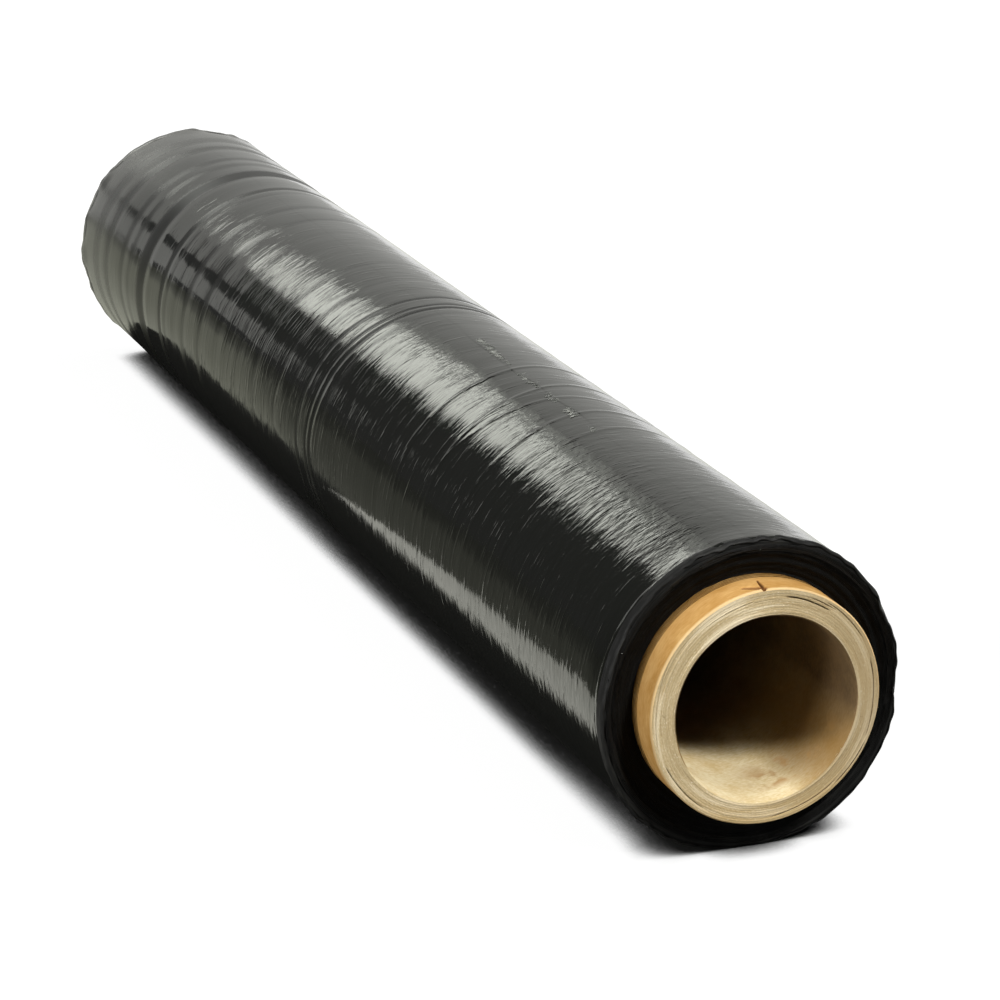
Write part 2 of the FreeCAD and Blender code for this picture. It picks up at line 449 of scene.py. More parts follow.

# %% [markdown]
# The liner is the darkest of the three, which is painted shade for its depth in the bore. Near
# the mouth and low down, where the key lamp falls, it is painted light, as pale as the sawn end,
# with a painted brown edge to the dark part, and it has one dull stain. Each of these is a share
# that falls off along, across or up.


# %% Liner of the bore
def make_bore_liner():
    """The liner of the bore: painted light where the key lamp reaches it, painted shade deep
    inside.
    """
    material, tree, shader = new_material("grey_board_liner", **{
        "Roughness": 0.9,
        "IOR": CORE_IOR,
        "Specular IOR Level": 0.2,
    })
    cloud = stretched_noise(tree, 9, 7, detail=4, lean=0.6)
    fibre = stretched_noise(tree, 0.5, 1.2, detail=3, lean=0.6)
    _, signed, across, up = place_outputs(tree)
    along = add(tree, "ShaderNodeMath", {0: signed}, operation="ABSOLUTE").outputs[0]

    # Painted light of the key lamp near the mouth, on the low side and less so on the right, and
    # painted shade else.
    near_mouth = add(tree, "ShaderNodeMapRange", {
        0: along, 1: (CORE_HALF - 75) * MM, 2: (CORE_HALF - 36) * MM,
    }).outputs[0]
    low_side = add(tree, "ShaderNodeMapRange", {
        0: up, 1: (AXIS_HEIGHT - 3) * MM, 2: (AXIS_HEIGHT - 15) * MM,
    }).outputs[0]
    to_side = add(tree, "ShaderNodeMapRange", {
        0: across, 1: 8 * MM, 2: 22 * MM, 3: 1.0, 4: 0.5,
    }).outputs[0]
    pale = product_of(tree, near_mouth, low_side, to_side)
    tone = sum_of(tree, (cloud, 0.5), (fibre, 0.5))
    lamp_lit_board = tones_over(tree, colour("#c6ad7c"), [(tone, 0.36, 0.62, 0, 1, "#decfa9")])
    dark = tones_over(tree, colour("#5e4c34"), [(tone, 0.36, 0.62, 0, 1, "#755e40")])
    base = add(tree, "ShaderNodeMix", {0: pale, 6: dark, 7: lamp_lit_board}, data_type="RGBA").outputs[2]

    # A painted brown edge between the painted light and shade, and a dull stain a little way in,
    # low on the right.
    rest = add(tree, "ShaderNodeMath", {0: 1.0, 1: pale}, operation="SUBTRACT").outputs[0]
    halfway = product_of(tree, pale, rest)
    stain = add(tree, "ShaderNodeMapRange", {0: cloud, 1: 0.50, 2: 0.60, 3: 0, 4: 0.75}).outputs[0]
    for output, start, end in (
        (along, CORE_HALF - 24, CORE_HALF - 14),
        (along, CORE_HALF - 5, CORE_HALF - 8),
        (across, -2, 4),
        (up, AXIS_HEIGHT - 8, AXIS_HEIGHT - 14),
    ):
        reach = add(tree, "ShaderNodeMapRange", {0: output, 1: start * MM, 2: end * MM}).outputs[0]
        stain = product_of(tree, stain, reach)
    base = tones_over(tree, base, [
        (halfway, 0.0, 0.25, 0, 0.75, "#7f5c24"),
        (stain, 0, 1, 0, 1, "#a87f48"),
    ])
    dress(tree, shader, base, sum_of(tree, (fibre, 0.05 * MM), (cloud, 0.12 * MM)))
    return material


bore_liner = make_bore_liner()
print("made", bore_liner.name)

# %% [markdown]
# The sawn end is all rings: wide ones where one strip of board meets the next, finer ones for
# its layers, and the finest for glue lines and torn fibres. The mesh says where the cracks are.


# %% Sawn board
def make_sawn_board():
    """The sawn end of the tube: torn fibres, with the layers of board as thin lines."""
    material, tree, shader = new_material("recycled_board_sawn", **{
        "Roughness": 0.9,
        "IOR": CORE_IOR,
        "Specular IOR Level": 0.2,
    })
    layer = ring_noise(tree, 0.55, 16)
    line = ring_noise(tree, 0.22, 9)
    fibre = ring_noise(tree, 0.30, 0.7)
    wide = ring_noise(tree, 2.2, 22)
    _, _, across, up = place_outputs(tree)
    opened = add(tree, "ShaderNodeAttribute", attribute_name="opened").outputs["Fac"]
    tone = sum_of(tree, (layer, 0.45), (fibre, 0.55))
    base = tones_over(tree, colour("#bda67c"), [
        (tone, 0.38, 0.62, 0, 1, "#dac8a2"),
        # wide bands, because each strip of board is from another pulp
        (wide, 0.40, 0.60, 0.5, 0, "#a8946c"),
        (wide, 0.52, 0.64, 0, 0.5, "#ecdfbf"),
        # glue lines and torn pale fibres
        (line, 0.62, 0.70, 0, 0.5, "#8d7448"),
        (fibre, 0.64, 0.74, 0, 0.6, "#eadfc6"),
        # painted shade, duller on the right and at the bottom
        (across, 0, 30 * MM, 0, 0.6, "#957f5a"),
        (up, (AXIS_HEIGHT - 18) * MM, (AXIS_HEIGHT - 29) * MM, 0, 0.4, "#b0925a"),
        # dark in the cracks
        (opened, 0.1, 0.7, 0, 0.85, "#4b3a22"),
    ])
    height = sum_of(tree, (fibre, 0.12 * MM), (layer, 0.06 * MM))
    dress(tree, shader, base, height, strength=0.8)
    return material


sawn_board = make_sawn_board()
print("made", sawn_board.name)

# %% [markdown]
# ## The wound film
#
# The wound film replaces its plain CAD solid. Its relief has five parts, each with its own cause:
#
# - gauge bands, where the film left the extruder thinner and every turn adds to the dip;
# - folds that lean, where the last turns slipped sideways;
# - the free edge of the last turn, a low ledge along the roll;
# - the rim, where the outermost turns overhang a little and sag;
# - slow, shallow waves everywhere, because no film winds quite evenly.
#
# A band is given by its middle along the axis, the width of its bottom, the width of its sides
# and its depth. Negative places are towards the far end.


# %% Features of the wound film
# Each gauge band: its deepest place, how far it falls before that and rises after, and its depth.
GAUGE_BANDS = (
    (-228, 8, 6, 0.04),
    (-215, 6, 5, 0.05),
    (-196, 5, 4, 0.05),
    (-187, 4, 4, 0.04),
    (-170, 10, 6, 0.13),
    (-147, 4, 2.2, 0.085),
    (-141, 2, 1.6, 0.05),
    (-119, 4, 3, 0.05),
    (-101, 4, 3, 0.05),
    (-40, 2, 2, 0.05),
    (-18, 1.6, 1.6, 0.03),
    (-6, 1.6, 1.6, 0.03),
    (5, 2.2, 1.6, 0.09),
    (13.5, 2.0, 1.2, 0.10),
    (17.5, 2.4, 1.8, 0.12),
    (24.5, 2.0, 1.6, 0.05),
)

# Each fold: where it crosses the top, how far it leans per degree, and its height.
LEANING_FOLDS = (
    (86, -0.07, 0.16),
    (107, -0.12, 0.17),
    (118, 0.09, 0.13),
    (134, -0.08, 0.16),
    (151, -0.09, 0.10),
    (176, 0.07, 0.08),
    (204, -0.08, 0.08),
)

# How far the rim stands out or in at a few angles, where the outer turns have sagged.
RIM_SAG = (
    (-140, 0.9), (-80, 0.1), (-45, 1.1), (12, -1.0), (60, 0.2), (95, 0.4), (130, 0.1), (178, -1.0),
)

# The strip below the free edge is pressed down from this angle upwards.
CREASE_ANGLE = 79


def band_relief(along):
    """The dips of the gauge bands: a long fall and a short rise."""
    relief = 0
    for place, fall, rise, depth in GAUGE_BANDS:
        dip = ease(along, place - fall, place) - ease(along, place, place + rise)
        relief = relief - depth * dip
    return relief


def gauge_mask(along):
    """1 where a band is at its thinnest, 0 between: rougher there, with painted shade in the tint.
    """
    mask = 0
    for place, fall, rise, depth in GAUGE_BANDS:
        share = ease(along, place - fall, place - fall * 0.6)
        share = share * (1 - ease(along, place, place + rise * 0.5))
        mask = np.maximum(mask, share * min(1, depth * 9))
    return mask


def fold_relief(along, angle):
    """Ridges that cross the top at a slant and fade out down the sides."""
    relief = 0
    for middle, lean, height in LEANING_FOLDS:
        wave = 0.8 * np.sin(np.radians(angle * 5 + middle))
        offset = along - middle - lean * (angle - 90) - wave
        strength = 0.4 * ease(angle, -10, 25) + 0.6 * ease(angle, 45, 80)
        strength = strength * (1 - ease(angle, 120, 165))
        relief = relief + height * strength * np.exp(-(offset / 0.8) ** 2)
    return relief


def crease_edge(along):
    """The angle of the strip's upper edge, which wanders along the roll."""
    return CREASE_ANGLE + 1.2 * np.sin(along / 23.0) + 0.6 * np.sin(along / 6.1)


def crease_mask(along, angle):
    """1 on the pressed-down strip below the free edge, which is finely crumpled."""
    edge = crease_edge(along)
    return ease(along, 5, 60) * (1 - ease(angle, edge - 2, edge)) * ease(angle, 56, 68)


def tail_relief(along, angle):
    """The free edge of the last turn, and the crease where that turn has been pressed down."""
    edge = TAIL_ANGLE + 0.8 * np.sin(along / 17.0) + 0.5 * np.sin(along / 5.3 + 1)
    lifted = ease(along, 40, 62) * (1 - ease(along, 132, 146))
    lifted = lifted * (0.55 + 0.45 * np.sin(along / 3.1) * np.sin(along / 7.7))
    ledge = (0.02 + 0.16 * lifted) * (1 - ease(angle, edge - 0.9, edge)) * ease(angle, 55, edge - 6)
    pressed = crease_edge(along)
    crease = 0.26 * ease(along, 0, 60) * (1 - ease(angle, pressed - 8, pressed))
    return -ledge - crease * ease(angle, 25, 66)


def rim_relief(along, angle):
    """The sag of the outermost turns, close to the rims only."""
    places, heights = zip(*RIM_SAG)
    near = np.interp(angle, places, heights, period=360)
    scallops = 0.6 + 0.8 * np.exp(-(((angle + 90) % 360 - 260) / 45) ** 2)
    near = near + ripples(along * 0, angle, 21, 10, (5, 24), (90, 200), 0.30) * scallops
    far = ripples(along * 0, angle, 22, 12, (5, 20), (90, 200), 0.40)
    return near * ease(along, 239, FILM_HALF) + far * ease(-along, 242, FILM_HALF)


# %% [markdown]
# The section of the film runs along the outside from the far rim to the near one, round the rim,
# down the near end to the core, back along the core and up the far end. The samples are closer
# where a deep band or the free edge needs them.


# %% Build the wound film
RIM_ROUND = 1.3
RIM_SAMPLES = 5
END_STEP = 0.33
DEEP_BAND = 0.08
TAIL_STRETCH = (117, 37, 0.62)


def film_section():
    """Places along the axis and radii of the section, and which material each stretch has."""
    dense = [
        (place - (fall - rise) / 2, (fall + rise) / 2 + 0.5, 0.6)
        for place, fall, rise, depth in GAUGE_BANDS if depth > DEEP_BAND
    ] + [TAIL_STRETCH]
    body = stations(-FILM_HALF + RIM_ROUND, FILM_HALF - RIM_ROUND, 1.7, dense)
    turn = np.radians(np.linspace(0, 90, RIM_SAMPLES)[1:])
    rim_along = FILM_HALF - RIM_ROUND + RIM_ROUND * np.sin(turn)
    rim_radius = FILM_RADIUS - RIM_ROUND + RIM_ROUND * np.cos(turn)
    end_radius = np.arange(FILM_RADIUS - RIM_ROUND - END_STEP, CORE_RADIUS, -END_STEP)
    end_radius = np.append(end_radius, CORE_RADIUS)
    depth = (FILM_RADIUS - end_radius) / (FILM_RADIUS - CORE_RADIUS)
    end_along = FILM_HALF - END_DISH * depth ** 1.3
    near_along = np.concatenate([rim_along, end_along])
    near_radius = np.concatenate([rim_radius, end_radius])
    along = np.concatenate([body, near_along, -near_along[::-1]])
    radius = np.concatenate([np.full(len(body), FILM_RADIUS), near_radius, near_radius[::-1]])
    slots = np.zeros(len(along), int)
    slots[len(body) + 1:len(along) - 2] = 1
    return along, radius, slots


def make_wound_film():
    """The film as one closed skin with all its relief."""
    section_along, section_radius, slots = film_section()
    angles = stations(-90, 270, 2.5, dense=[(TAIL_ANGLE, 2.4, 0.3)])[:-1]
    angle, along = np.meshgrid(angles, section_along)
    radius = np.repeat(section_radius[:, None], len(angles), axis=1)
    leaning = along + 1.3 * np.sin(np.radians(angle - 40))
    leaning = leaning + 0.5 * np.sin(np.radians(angle * 3 + 70))
    outside = ease(radius, FILM_RADIUS - 2.5, FILM_RADIUS)

    # The relief of the outside.
    relief = band_relief(leaning) + fold_relief(along, angle) + tail_relief(along, angle)
    relief = relief + rim_relief(along, angle)
    relief = relief + ripples(leaning, angle, 3, 26, (0, 1), (7, 40), 0.020)
    relief = relief + ripples(along, angle, 4, 40, (2, 9), (60, 240), 0.045)
    relief = relief + ripples(along, angle, 5, 40, (8, 26), (25, 90), 0.014)
    radius = radius + relief * outside

    # The ends: ledges of single turns, and a rim that wanders along the axis.
    ends = 1 - ease(radius, FILM_RADIUS - 1.5, FILM_RADIUS - 0.4)
    ledges = ripples(radius * 3, angle, 8, 14, (0, 2), (4, 14), 0.16)
    wander = ripples(radius * 0, angle, 9, 14, (4, 36), (90, 200), 0.22)
    wander = wander * ease(np.abs(along), 244, FILM_HALF)
    along = along + np.sign(along) * (ledges * ends + wander)
    piece = ring_mesh("wound_film", along, radius, angles, slots, [film_gloss, film_ends])
    mark(piece, "gauge", gauge_mask(leaning) * outside)
    mark(piece, "crease", crease_mask(along, angle) * outside)
    return piece


wound_film = make_wound_film()
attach(wound_film, "root")
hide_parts("stretch_film")

# %% [markdown]
# ## The cardboard core
#
# The core replaces its CAD solid too, because what the eye looks for is at its sawn end: layers
# that don't end quite level, a crack where two of them have come apart, and the slit where the
# kraft skin has split. The slit has a short arm, so it reads as a torn flap.


# %% Features of the core
LAYERS = 10
LAYER_STEP = 0.05

# The slit in the skin: (distance behind the sawn end, angle) of its three corners.
SLIT_END = (7.2, 89.8)
SLIT_FORK = (1.2, 88.2)
SLIT_ARM = (4.0, 80.5)

# The cracks between layers of the sawn end: from and to in degrees, radius, depth and half width.
CRACKS = (
    (98, 127, 29.1, 0.8, 0.13),
    (112, 128, 29.75, 0.45, 0.09),
    (120, 152, 30.2, 0.35, 0.09),
    (160, 205, 29.7, 0.40, 0.09),
    (205, 232, 30.35, 0.70, 0.13),
    (228, 268, 29.5, 0.45, 0.10),
    (268, 296, 30.1, 0.35, 0.09),
    (-58, -22, 29.6, 0.40, 0.09),
    (-20, 34, 30.0, 0.22, 0.08),
    (48, 84, 28.9, 0.22, 0.08),
)


def distance_to_line(along, angle, start, end):
    """How far points of the skin are from a line on it, in millimetres, and their share of it."""
    scale = CORE_RADIUS * math.pi / 180
    start = np.array([CORE_HALF - start[0], start[1] * scale])
    end = np.array([CORE_HALF - end[0], end[1] * scale])
    run = end - start
    points = np.stack([along, angle * scale], axis=-1) - start
    share = np.clip(points @ run / (run @ run), 0, 1)
    return np.linalg.norm(points - share[..., None] * run, axis=-1), share


def slit_relief(along, angle):
    """The lips that have curled up beside the slit, and how open the slit and its arm are."""
    main, share = distance_to_line(along, angle, SLIT_END, (-0.5, 87.6))
    arm, arm_share = distance_to_line(along, angle, SLIT_ARM, SLIT_FORK)
    width = 0.16 + 0.38 * share
    arm_width = 0.46 + 0.34 * arm_share
    opened = np.maximum(np.exp(-(main / width) ** 2), np.exp(-(arm / arm_width) ** 2))
    lip = 0.24 * np.exp(-((main - 0.8) / 0.5) ** 2) * share
    return lip, opened


def sawn_relief(radius, angle):
    """How far the sawn end stands out or in: uneven layers and the gaps between them."""
    layer = (radius - BORE_RADIUS) / (CORE_RADIUS - BORE_RADIUS) * LAYERS
    heights = np.random.default_rng(12).uniform(-1, 1, LAYERS + 2) * LAYER_STEP
    relief = heights[np.clip(layer, 0, LAYERS).astype(int)]
    gap = np.abs(layer - np.round(layer))
    relief = relief - 0.04 * np.exp(-(gap / 0.16) ** 2)
    relief = relief + ripples(radius * 0, angle, 14, 10, (1, 7), (90, 200), 0.10)
    return relief


def crack_relief(radius, angle):
    """How deep the cracks of the sawn end are. The angle is taken from -90 to 270 degrees."""
    angle = (angle + 90) % 360 - 90
    depth = 0
    for start, end, middle, deep, half_width in CRACKS:
        wave = 0.22 * np.cos(np.radians((angle - start) * 7)) + 0.010 * (angle - start)
        share = ease(angle, start, start + 6) * (1 - ease(angle, end - 6, end))
        across = np.exp(-((radius - middle - wave) / half_width) ** 2)
        depth = np.maximum(depth, deep * share * across)
    return depth


# %% [markdown]
# The section of the core starts in the far mouth of the bore and runs through it, over the near
# sawn end, back along the skin and over the far sawn end. One edge has a chip. At its mouths the
# bore is a little tight, from the saw's burr, a little narrower on one side, and lies a little
# low in the tube.


# %% Build the core
EDGE_ROUND = 0.35
LAYER_SAMPLES = 64
CHIP_ANGLE, CHIP_REACH, CHIP_DEPTH = -127, 3.2, 0.8
MOUTH_BURR, MOUTH_LEAN, BORE_OFFSET = 0.25, 0.2, 0.7
FAR_END_TURN = 77
KRAFT, SAWN, LINER = 0, 1, 2


def core_section():
    """The tube's section: bore, near sawn end, skin and far sawn end."""
    mouth = CORE_HALF - EDGE_ROUND
    bore_along = stations(-mouth, mouth, 14)
    end_radius = np.linspace(BORE_RADIUS + EDGE_ROUND, CORE_RADIUS - EDGE_ROUND, LAYER_SAMPLES)
    skin = np.concatenate([np.linspace(mouth, mouth - 9, 37), np.linspace(mouth - 13, 0, 9)])
    half_along = np.concatenate([np.full(LAYER_SAMPLES, CORE_HALF), skin])
    half_radius = np.concatenate([end_radius, np.full(len(skin), CORE_RADIUS)])
    along = np.concatenate([bore_along, half_along, -half_along[::-1][1:]])
    bore_radius = np.full(len(bore_along), BORE_RADIUS)
    radius = np.concatenate([bore_radius, half_radius, half_radius[::-1][1:]])
    end_start = len(bore_along)
    slots = np.full(len(along), KRAFT)
    slots[:end_start] = LINER
    slots[end_start:end_start + LAYER_SAMPLES - 1] = SAWN
    slots[len(along) - LAYER_SAMPLES:] = SAWN
    return along, radius, slots


def make_core_tube():
    """The tube as one closed skin."""
    section_along, section_radius, slots = core_section()
    angles = stations(-90, 270, 1.5, dense=[(85, 9, 0.36)])[:-1]
    angle, along = np.meshgrid(angles, section_along)
    radius = np.repeat(section_radius[:, None], len(angles), axis=1)
    on_skin = (radius > CORE_RADIUS - 0.01) & (along > 0)
    on_end = np.abs(along) > CORE_HALF - 0.01

    # The sawn ends. The far one is the near one turned, so that no two marks line up.
    turned = np.where(along > 0, angle, angle + FAR_END_TURN)
    cracked = crack_relief(radius, turned)
    sawn = sawn_relief(radius, turned) - cracked
    chip = ease(angle, CHIP_ANGLE - CHIP_REACH, CHIP_ANGLE)
    chip = chip * (1 - ease(angle, CHIP_ANGLE, CHIP_ANGLE + CHIP_REACH))
    at_edge = ease(radius, CORE_RADIUS - 1.0, CORE_RADIUS - 0.3)
    new_along = along + np.sign(along) * np.where(on_end, sawn - CHIP_DEPTH * chip * at_edge, 0)

    # The skin, with its slit, and slow waves over all of the tube.
    lip, slit_open = slit_relief(along, angle)
    new_radius = radius + np.where(on_skin, lip - 0.9 * slit_open, 0)
    new_radius = new_radius + ripples(along, angle, 17, 12, (2, 11), (30, 90), 0.03)

    # The mouths of the bore.
    around = np.radians(angle)
    wall_share = np.clip((radius - BORE_RADIUS) / (CORE_RADIUS - BORE_RADIUS), 0, 1)
    at_mouth = ease(np.abs(along), CORE_HALF - 45, CORE_HALF - 2) * (1 - wall_share)
    inward = MOUTH_BURR + BORE_OFFSET * np.sin(around) + MOUTH_LEAN * np.cos(around)
    new_radius = new_radius - at_mouth * inward

    finishes = [kraft_skin, sawn_board, bore_liner]
    piece = ring_mesh("core_tube", new_along, new_radius, angles, slots, finishes)
    in_crack = np.where(on_end, np.clip(cracked / 0.45, 0, 1), 0)
    mark(piece, "opened", np.where(on_skin, slit_open, in_crack))
    return piece


core_tube = make_core_tube()
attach(core_tube, "root")
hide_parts("cardboard_core")

# %% [markdown]
# ## The lips of the film
#
# The slitting knives leave the outermost turn longer than the rest in some places and torn in
# others, so each rim ends in a thin, ragged lip. It is the same kind of closed ring as the film,
# only far thinner, and with many more steps round the roll, because its edge changes every
# millimetre. It starts under the film's surface, four millimetres behind the rim, comes out of
# it and curls inwards past the rim.


# %% Build the lips
LIP_BACK = 4.0
LIP_THICKNESS = 0.14
LIP_STEPS = 620
LIP_SECTIONS = 9


def make_lip(name, side, seed, reach, flare, glossy_sections):
    """A ragged lip round one rim. side is 1 for the near end and -1 for the far one."""
    angles = np.linspace(-90, 270, LIP_STEPS, endpoint=False)
    teeth = ripples(angles * 0, angles, seed, 30, (6, 44), (90, 200), 1.0)
    slow = ripples(angles * 0, angles, seed + 1, 8, (2, 12), (90, 200), 1.0)
    ragged = reach * (0.35 + 0.5 * np.abs(teeth) + 0.25 * slow)
    lift = flare * ripples(angles * 0, angles, seed + 2, 26, (9, 60), (90, 200), 1.0)
    start = 0.3 + 0.12 * ripples(angles * 0, angles, seed + 3, 20, (5, 50), (90, 200), 1.0)

    # The section runs out along the top of the lip and back along its underside.
    share = np.linspace(0, 1, LIP_SECTIONS)
    share = np.concatenate([share, share[::-1]])
    under = np.repeat([0.0, 1.0], LIP_SECTIONS)[:, None]
    angle, share = np.meshgrid(angles, share)
    along = side * (FILM_HALF - LIP_BACK + share * (LIP_BACK + ragged))
    rim = rim_relief(np.full_like(share, side * FILM_HALF), angle)
    settled = ease(share, 0.1, 0.8)
    curl = -0.9 * np.maximum(np.abs(along) - FILM_HALF + 0.5, 0) ** 1.4
    emerged = ease(share, 0, np.clip(start, 0.1, 0.6))
    radius = FILM_RADIUS - 0.15 + 0.23 * emerged + settled * (rim + lift) + curl
    radius = radius - under * (LIP_THICKNESS + 0.5 * (1 - ease(share, 0, 0.15)))
    slots = np.ones(len(along), int)
    slots[:glossy_sections] = 0
    if side < 0:
        along, radius, slots = along[::-1], radius[::-1], slots[::-1]
    return ring_mesh(name, along, radius, angles, slots, [film_gloss, film_ends])


lips = [
    make_lip("near_lip", 1, seed=31, reach=0.40, flare=0.12, glossy_sections=3),
    make_lip("far_lip", -1, seed=41, reach=0.8, flare=0.10, glossy_sections=9),
]
for lip in lips:
    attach(lip, "root")

# %% [markdown]
# ## Growing pieces with Geometry Nodes
#
# The slit edges of the turns, the scraps of film on the rims and the fibres of the sawn board all
# repeat, so Geometry Nodes make them. `new_tree` starts a tree with named inputs, and `grow` runs
# it on a mesh and keeps the result as a plain mesh. A modifier's inputs are set by the
# socket's identifier, before the object is first evaluated.


# %% Helpers for Geometry Nodes
def new_tree(name, **inputs):
    """A geometry tree with one named input for each value. Its type follows the value's."""
    kinds = {
        float: "NodeSocketFloat",
        int: "NodeSocketInt",
        bpy.types.Material: "NodeSocketMaterial",
    }
    tree = bpy.data.node_groups.new(name, "GeometryNodeTree")
    new_socket = tree.interface.new_socket
    new_socket("Geometry", in_out="INPUT", socket_type="NodeSocketGeometry")
    new_socket("Geometry", in_out="OUTPUT", socket_type="NodeSocketGeometry")
    for label, value in inputs.items():
        kind = kinds[type(value)]
        socket = new_socket(label.replace("_", " "), in_out="INPUT", socket_type=kind)
        if not isinstance(value, bpy.types.Material):
            socket.default_value = value
    return tree, add(tree, "NodeGroupInput").outputs


def sweep(tree, curve, width, height):
    """A closed strip with a four-sided section, swept along a curve."""
    section = add(tree, "GeometryNodeCurvePrimitiveQuadrilateral", {
        "Width": width,
        "Height": height,
    })
    return add(tree, "GeometryNodeCurveToMesh", {
        "Curve": curve,
        "Profile Curve": section.outputs[0],
        "Fill Caps": True,
    }).outputs[0]


def close_tree(tree, geometry, material):
    """Ends a tree with Realize Instances and Set Material."""
    real = add(tree, "GeometryNodeRealizeInstances", {"Geometry": geometry})
    painted = add(tree, "GeometryNodeSetMaterial", {
        "Geometry": real.outputs[0],
        "Material": material,
    })
    add(tree, "NodeGroupOutput", {0: painted.outputs[0]})


def keep_above_table(mesh):
    """Lifts each point that would be under the table up to it."""
    for vertex in mesh.vertices:
        vertex.co.z = max(vertex.co.z, 0.0)


def grow(name, tree, host, **values):
    """Runs a tree on a mesh, and keeps the result as a plain mesh."""
    seedling = new_object(name + "_seedling", host)
    modifier = seedling.modifiers.new("grow", "NODES")
    modifier.node_group = tree
    for item in tree.interface.items_tree:
        key = item.name.replace(" ", "_")
        if item.in_out == "INPUT" and key in values:
            modifier[item.identifier] = values[key]
    evaluated = seedling.evaluated_get(bpy.context.evaluated_depsgraph_get())
    mesh = bpy.data.meshes.new_from_object(evaluated)
    bpy.data.objects.remove(seedling)
    mesh.name = name
    keep_above_table(mesh)
    mesh.shade_smooth()
    print(name, sum(len(face.vertices) - 2 for face in mesh.polygons), "triangles")
    return new_object(name, mesh)


# %% [markdown]
# ## Slit edges of the turns
#
# A real end shows some five hundred edges, each thinner than a hair. Two dozen thicker ones
# give the same look from a hand's breadth away. They are one spiral, as on the real roll, swept
# with a thin upright section, and noise pushes some of them out further than others. The
# spiral ends where the rim's rounding starts, so that it never shows past a sagged rim.


# %% Build the slit edges
def make_turns_tree():
    """A flat spiral of upright edges round the X axis, dished towards its middle."""
    tree, given = new_tree(
        "slit_edges",
        Inner_Radius=CORE_RADIUS * MM, Outer_Radius=(FILM_RADIUS - RIM_ROUND) * MM,
        Turns=26.0, Edge_Width=0.09 * MM, Edge_Height=0.7 * MM, Dish=END_DISH * MM,
        Unevenness=0.3 * MM, Grain=9 * MM, Seed=1, Material=film_ends,
    )
    spiral = add(tree, "GeometryNodeCurveSpiral", {
        "Resolution": 110,
        "Rotations": given["Turns"],
        "Start Radius": given["Inner Radius"],
        "End Radius": given["Outer Radius"],
        "Height": 0.0,
    })
    place = add(tree, "GeometryNodeInputPosition").outputs[0]
    radius = add(tree, "ShaderNodeVectorMath", {0: place}, operation="LENGTH").outputs[1]
    depth = add(tree, "ShaderNodeMapRange", {
        0: radius,
        1: given["Outer Radius"],
        2: given["Inner Radius"],
    }).outputs[0]
    curved = add(tree, "ShaderNodeMath", {0: depth, 1: 1.3}, operation="POWER")
    sunk = product_of(tree, curved.outputs[0], given["Dish"])
    grain = add(tree, "ShaderNodeMath", {0: 1.0, 1: given["Grain"]}, operation="DIVIDE")

    # The noise jumps at every second edge, because its place is lifted by the snapped radius.
    stepped = add(tree, "ShaderNodeMath", {0: radius, 1: 0.6 * MM}, operation="SNAP")
    lift = add(tree, "ShaderNodeCombineXYZ", {2: stepped.outputs[0]})
    where = add(tree, "ShaderNodeVectorMath", {
        0: lift.outputs[0], 1: (40, 40, 40), 2: place,
    }, operation="MULTIPLY_ADD")
    noise = add(tree, "ShaderNodeTexNoise", {
        "Vector": where.outputs[0],
        "W": given["Seed"],
        "Scale": grain.outputs[0],
        "Detail": 3.0,
    }, noise_dimensions="4D")
    push = add(tree, "ShaderNodeMapRange", {
        0: noise.outputs[0], 1: 0.35, 2: 0.7, 3: 0.0, 4: given["Unevenness"],
    })
    out = add(tree, "ShaderNodeMath", {
        0: push.outputs[0], 1: sunk,
    }, operation="SUBTRACT")
    offset = add(tree, "ShaderNodeCombineXYZ", {2: out.outputs[0]})
    moved = add(tree, "GeometryNodeSetPosition", {
        "Geometry": spiral.outputs[0],
        "Offset": offset.outputs[0],
    })
    swept = sweep(tree, moved.outputs[0], given["Edge Width"], given["Edge Height"])
    close_tree(tree, swept, given["Material"])
    return tree


turns_tree = make_turns_tree()


def make_slit_edges(name, side, seed):
    """The slit edges of one end, turned to face along the axis."""
    host = bpy.data.meshes.new(name + "_host")
    piece = grow(name, turns_tree, host, Seed=seed, Material=film_ends)
    turn = Matrix.Rotation(math.radians(90 * side), 4, "Y")
    sunk = FILM_HALF - 0.25
    place = Matrix.Translation(Vector((side * sunk * MM, 0, AXIS_HEIGHT * MM)))
    piece.data.transform(place @ turn)
    keep_above_table(piece.data)
    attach(piece, "root")


make_slit_edges("near_slit_edges", 1, seed=3)
make_slit_edges("far_slit_edges", -1, seed=7)

# %% [markdown]
# ## Scraps of film and fibres of board
#
# One scattering tree serves both. It strews short bent threads or flakes over a host mesh, which
# is a ring where such bits are found: the rims of the film, and the sawn ends of the core. Each
# bit has only a few faces, because there are hundreds.


